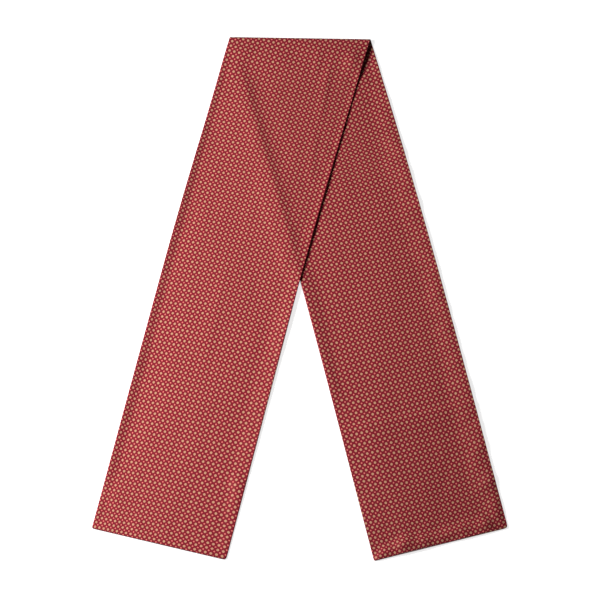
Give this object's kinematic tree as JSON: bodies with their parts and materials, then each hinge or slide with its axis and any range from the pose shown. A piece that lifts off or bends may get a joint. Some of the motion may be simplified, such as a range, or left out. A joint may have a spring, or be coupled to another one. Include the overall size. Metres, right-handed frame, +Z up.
{
  "type": "folded silk scarf",
  "caption": "Narrow double-faced silk scarf folded across its middle and laid flat, its ends spread apart in a V with one end lying over the other.",
  "frame": {"origin": "middle of the scarf's outline, on the surface that it lies on", "axes": "+Z up from that surface, +Y towards the fold, -Y towards the two tips, +X towards the lower end's side"},
  "size_m": [0.5988, 0.798, 0.0105],
  "materials": {
    "printed_silk": "silk twill with a soft sheen, printed with small tan and pink dots on deep red"
  },
  "bodies": {
    "root": {"upper_end_outer_panel": "printed_silk", "upper_end_under_panel": "printed_silk", "lower_end_top_panel": "printed_silk", "lower_end_under_panel": "printed_silk"}
  },
  "joints": []
}
